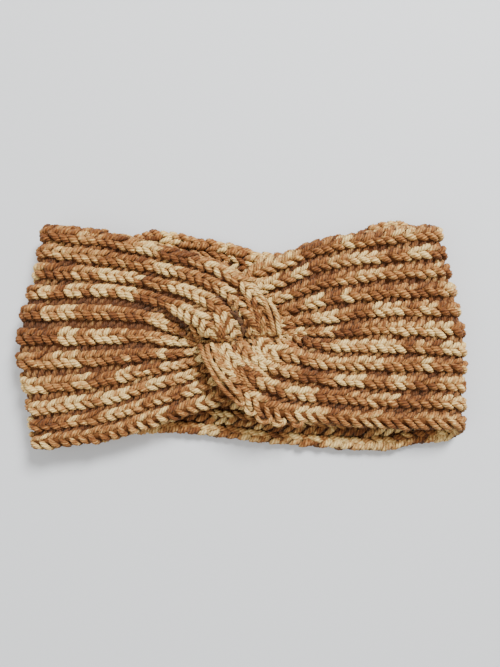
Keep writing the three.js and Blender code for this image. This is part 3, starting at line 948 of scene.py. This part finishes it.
def outer_ribs(low, high, rng, dyes):
    """The stitches of some outer ribs, two arms for each. The last rib's lower arms are edge strands."""
    return gathered(f"outer_ribs_{low + 1}_to_{high}", OUTER_SIDES, (
        lay(table, OUTER_RINGS, rib, 1, rng, dyes[rib], shift=shift)
        for rib in range(low, high)
        for table, shift in ((UPPER_ARM, 0.0), (LOWER_ARM, 0.2))[:1 if rib == RIBS - 1 else 2]))


def inner_ribs(low, high, rng, dyes):
    """The same stitches on the inner face, half a rib aside."""
    return gathered(f"inner_ribs_{low}_to_{high - 1}", INNER_SIDES, (
        lay(table, INNER_RINGS, rib - 0.5, -1, rng, dyes[rib], first=0.3)
        for rib in range(low, high) for table in (UPPER_ARM, LOWER_ARM)))


def valley_strands(rng, dyes):
    """The slanted strands between the outer ribs, their tone lowered as painted shade."""
    return gathered("valley_strands", VALLEY_SIDES, (
        lay(VALLEY_STRAND, VALLEY_RINGS, rib - 0.5, 1, rng, dyes[rib], per_stitch=1.25, painted_shade=0.40, shift=0.7,
            lift=0.40)
        for rib in range(1, RIBS)))


def knot_strands(rng, dyes):
    """The long strands that are drawn out along the lobes."""
    return gathered("knot_strands", OUTER_SIDES, (
        lay(LONG_STRAND, OUTER_RINGS, rib - 0.5, 1, rng, dyes[rib], per_stitch=1.2, at_knot=True)
        for rib in range(1, RIBS)))


def edge_strands(rng, dyes):
    """The long arms over the strip's lower edge and the loops round its upper edge."""
    return gathered("edge_strands", OUTER_SIDES, (
        lay(EDGE_STRAND, RIM_RINGS, RIBS - 1, 1, rng, dyes[RIBS - 1], lean=0.62),
        lay(RIM_LOOP, RIM_RINGS, 0, 1, rng, dyes[0], first=0.3, mirror=-1, shift=0.4)))


def inner_rims(rng, dyes):
    """The stitches along the inner face's two edges."""
    return gathered("inner_rims", INNER_SIDES, (
        lay(table, INNER_RINGS, rib, -1, rng, dye, first=0.3, spread=0.72, plump=1.22)
        for rib, dye in ((UPPER_RIM, dyes[0]), (LOWER_RIM, dyes[RIBS])) for table in (UPPER_ARM, LOWER_ARM)))


# The lobes' ends in the crease, on the run and across the strip, and the points that a gathered strand
# passes on each of them: how far back from the end on the run, and how deep in millimetres.
LOBE_ENDS = ({"run": 0.0, "across": (0.3, 1.0)}, {"run": float(RUN), "across": (-1.0, -0.22)})
CREASE_PATH = ((0.34, 1.9), (0.16, 0.9), (0.03, 0.5))
# How many there are, from where to where they lie along the crease, how far they stray across the strip and
# in millimetres, and their yarn: its tones and girths, and the share of light on it, as painted shade in the
# crease.
CREASE = {"strands": 25, "from": -13.5, "to": 15.0, "samples": 60, "stray_across": 0.02, "stray": 0.25,
          "tones": (0.25, 0.8), "girths": (0.95, 1.2), "light": 0.55}


def crease_strands():
    """The gathered yarn in the crease between the two lobes: short strands that come up from under one
    lobe's end, cross to the other's at the same place along the crease, and go down under it again."""
    rng = np.random.default_rng(SEEDS["crease"])
    count = CREASE["strands"]
    x = np.linspace(CREASE["from"], CREASE["to"], count) + STRIP.shift[0]
    points, ups = [], []
    for lobe, path in zip(LOBE_ENDS, (CREASE_PATH, CREASE_PATH[::-1])):
        across = np.linspace(*lobe["across"], CREASE["samples"])
        edge = STRIP.at((STRIP.point,), np.full(len(across), lobe["run"]), across)[0][:, 0]
        order = np.argsort(edge)
        across = np.interp(x, edge[order], across[order])
        for back, sunk in path:
            where = across + rng.normal(0, CREASE["stray_across"], count)
            skin, up = STRIP.outside(np.full(count, abs(lobe["run"] - back)), where)
            points.append(skin - np.array([0, 0, sunk]) + rng.normal(0, CREASE["stray"], (count, 3)))
            ups.append(up)
    rings = np.linspace(0, 1, OUTER_RINGS)
    knots = np.linspace(0, 1, len(points))
    centre, up = (np.swapaxes(through(knots, np.array(rows), rings), 0, 1) for rows in (points, ups))
    even = np.ones((count, OUTER_RINGS))
    tone = even * rng.uniform(*CREASE["tones"], (count, 1))
    girth = even * rng.uniform(*CREASE["girths"], (count, 1))
    return gathered("crease_strands", OUTER_SIDES, ((centre, up, girth, tone, even * CREASE["light"]),))


# The bare strands along the lobes' free edges: the lobe's end on the run, how far the strand goes from
# there, its place across the strip, its dye's tone, and its girth in millimetres.
CORDS = (
    (RUN, -2.3, -0.97, 0.62, 1.14),
    (RUN, -2.1, -1.04, 0.42, 1.08),
    (RUN, -1.5, -0.89, 0.78, 1.06),
    (0.0, 1.9, 0.98, 0.66, 1.14),
    (0.0, 1.4, 1.045, 0.90, 1.08),
)


def lobe_cords():
    """The long bare strands along the lobes' free edges: each follows its edge from the crease outwards,
    sways across it and up and down as sines of the way along, and sinks at both ends as a bell curve."""
    rng = np.random.default_rng(SEEDS["cords"])
    bundle = Bundle()
    way = np.linspace(0, 1, 60)
    start, over, sunk, first_end, last_end = 0.03, 0.15, 2.2, 0.06, 0.08
    sway, heave, stain, light = 0.008, 0.25, 0.16, 0.9
    ends = np.exp(-((way / first_end) ** 2)) + np.exp(-(((1 - way) / last_end) ** 2))
    for lobe_end, reach, across, tone, girth in CORDS:
        phase = rng.uniform(0, 2 * math.pi, 2)
        run = lobe_end + reach * at_least(start, way)
        skin, up = STRIP.outside(run, across + sway * np.sin(9 * way + phase[0]))
        lift = heave * np.sin(11 * way + phase[1]) + over - sunk * ends
        tones = tone + stain * np.sin(7 * way + phase[1])
        bundle.add_one(skin + up * lift[:, None], up, girth, tones, light)
    return bundle.mesh("lobe_cords", OUTER_SIDES)


# The slack loops at the right lobe's lower edge: where each one is on the run, how far it reaches past the
# edge in millimetres, and its dye's tone.
SLACK_LOOPS = (
    (11.45, 2.1, 0.42),
    (11.80, 2.7, 0.66),
    (12.13, 3.4, 0.52),
    (12.48, 2.6, 0.80),
    (12.80, 2.2, 0.45),
)


def slack_loops():
    """The slack loops that hang out of the right lobe's lower edge: each one is most of a circle that lies
    past the edge, comes up out of the stitches on one side and goes down into them on the other."""
    bundle = Bundle()
    angle = np.linspace(-0.72, 0.72, 30) * math.pi
    width, length, past, step = 0.95, 0.78, 0.15, 0.1
    sunk, tilt, ends_sunk, stain, girth, light = 1.2, 0.7, 2.6, 0.14, 0.98, 0.9
    for middle, reach, tone in SLACK_LOOPS:
        near = middle + step * np.arange(-1, 2)
        point, pitch = STRIP.at((STRIP.point, STRIP.pitch), near, np.full(3, -1.0))
        run_per_mm = 2 * step / np.linalg.norm(point[2] - point[0])
        across_per_mm = 2 / RIBS / pitch[1]
        run = middle + reach * width * np.sin(angle) * run_per_mm
        across = -1.0 - reach * length * (np.cos(angle) + past) * across_per_mm
        skin, up = STRIP.outside(run, across)
        depth = sunk + tilt * np.sin(angle) + ends_sunk * np.abs(angle / angle[0]) ** 6
        tones = tone + stain * np.sin(3 * angle)
        bundle.add_one(skin - up * depth[:, None], up, girth, tones, light)
    return bundle.mesh("slack_loops", OUTER_SIDES)


def build_stitches():
    """All the stitch pieces, in the order in which their yarn is drawn at random."""
    rng = np.random.default_rng(SEEDS["stitches"])
    dyes = [DyeRuns(rng, STITCHES) for rib in range(RIBS)]
    inner_dyes = [DyeRuns(rng, STITCHES) for rib in range(RIBS + 1)]
    for rib, start, stop, tone in KNOB_CREAM:
        dyes[rib].dip(STITCHES - start, STITCHES - stop, tone)
    pieces = [outer_ribs(low, high, rng, dyes) for low, high in OUTER_GROUPS]
    pieces += [inner_ribs(low, high, rng, inner_dyes) for low, high in INNER_GROUPS]
    pieces += [valley_strands(rng, dyes), knot_strands(rng, inner_dyes), edge_strands(rng, dyes)]
    pieces += [inner_rims(rng, inner_dyes), crease_strands(), lobe_cords(), slack_loops()]
    return pieces


def seam_stitches():
    """The overcast seam under the knot: short slanted strands over a flat bead, each most of an ellipse."""
    low, high = (np.array(corner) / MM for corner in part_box("twist_seam"))
    middle, half = (low + high) / 2, (high - low) / 2
    inset, slant, width, height, girth, tone, light = 1.5, 0.9, 0.86, 0.35, 0.75, 0.4, 0.8
    turn = np.linspace(-0.75, 0.75, 9)[None, :] * math.pi
    start = np.linspace(low[0] + inset, high[0] - inset, 11)[:, None]
    x = start + slant * np.sin(turn / 1.5)
    y = middle[1] + half[1] * width * np.sin(turn) + 0 * x
    z = middle[2] - height * np.cos(turn) + 0 * x
    centre = np.stack([x, y, z], axis=-1)
    up = np.stack([0 * x, np.sin(turn) + 0 * x, -np.cos(turn) + 0 * x], axis=-1)
    even = np.ones(x.shape)
    strands = centre, up, girth * even, tone * even, light * even
    return gathered("seam_stitches", INNER_SIDES, (strands,))


place_camera()
stage_floor()
yarn = yarn_material("dyed_wool", DYES, YARN_BUMP)
ground = ground_cloth()
ground.data.materials.append(ground_material())
stitches = build_stitches()
for piece in stitches:
    piece.data.materials.append(yarn)
seam = seam_stitches()
seam.data.materials.append(yarn)

for piece in (ground, *stitches):
    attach(piece, "root")
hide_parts("rib_strip")
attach(seam, "root")
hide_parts("twist_seam")
